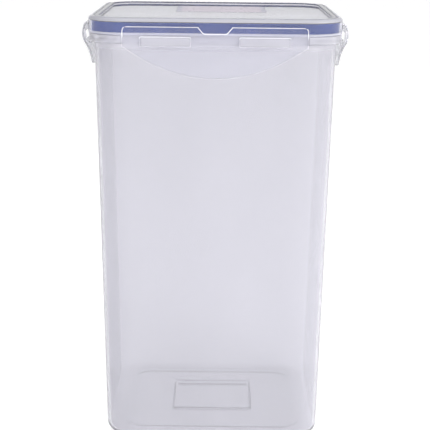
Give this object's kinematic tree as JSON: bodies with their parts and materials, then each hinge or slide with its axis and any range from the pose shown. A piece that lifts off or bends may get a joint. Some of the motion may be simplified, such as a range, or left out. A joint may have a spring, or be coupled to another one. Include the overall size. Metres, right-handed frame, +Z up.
{
  "type": "food storage container",
  "caption": "Tall tapered food storage box with a recessed lift-off lid, a blue seal ring and hinged side flaps that press home under lugs on the collar to lock the lid.",
  "frame": {"origin": "centre of the base, on the plane that the box stands on", "axes": "+Z up, front (a long side) at -Y, +X to the right as seen from the front"},
  "size_m": [0.1584, 0.1284, 0.2715],
  "materials": {
    "tub_plastic": "milky translucent polypropylene, smooth",
    "lid_plastic": "milky translucent polypropylene, smooth",
    "flap_plastic": "milky translucent polypropylene, smooth",
    "hinge_plastic": "thin bent polypropylene, slightly whitened",
    "seal_rubber": "dark blue silicone, satin",
    "label_film": "blank printed film, satin"
  },
  "bodies": {
    "container": {"container_body": "tub_plastic"},
    "lid": {"lid_panel": "lid_plastic", "lid_seal": "seal_rubber", "lid_label": "label_film", "front_hinge_left": "hinge_plastic", "front_hinge_right": "hinge_plastic", "rear_hinge_left": "hinge_plastic", "rear_hinge_right": "hinge_plastic", "left_hinge_front": "hinge_plastic", "left_hinge_rear": "hinge_plastic", "right_hinge_front": "hinge_plastic", "right_hinge_rear": "hinge_plastic"},
    "front_flap": {"front_flap": "flap_plastic"},
    "rear_flap": {"rear_flap": "flap_plastic"},
    "left_flap": {"left_flap": "flap_plastic"},
    "right_flap": {"right_flap": "flap_plastic"}
  },
  "joints": [
    {"name": "lid_lift", "type": "slide", "parent": "container", "child": "lid", "axis": [0, 0, 1], "range_m": [0, 0.12]},
    {"name": "front_flap_turn", "type": "hinge", "parent": "lid", "child": "front_flap", "pos_m": [0, -0.0608, 0.2667], "axis": [-1, 0, 0], "range_deg": [-5, 115], "deforming": ["front_hinge_left", "front_hinge_right"]},
    {"name": "rear_flap_turn", "type": "hinge", "parent": "lid", "child": "rear_flap", "pos_m": [0, 0.0608, 0.2667], "axis": [1, 0, 0], "range_deg": [-5, 115], "deforming": ["rear_hinge_left", "rear_hinge_right"]},
    {"name": "left_flap_turn", "type": "hinge", "parent": "lid", "child": "left_flap", "pos_m": [-0.0758, 0, 0.2667], "axis": [0, 1, 0], "range_deg": [-5, 115], "deforming": ["left_hinge_front", "left_hinge_rear"]},
    {"name": "right_flap_turn", "type": "hinge", "parent": "lid", "child": "right_flap", "pos_m": [0.0758, 0, 0.2667], "axis": [0, -1, 0], "range_deg": [-5, 115], "deforming": ["right_hinge_front", "right_hinge_rear"]}
  ]
}
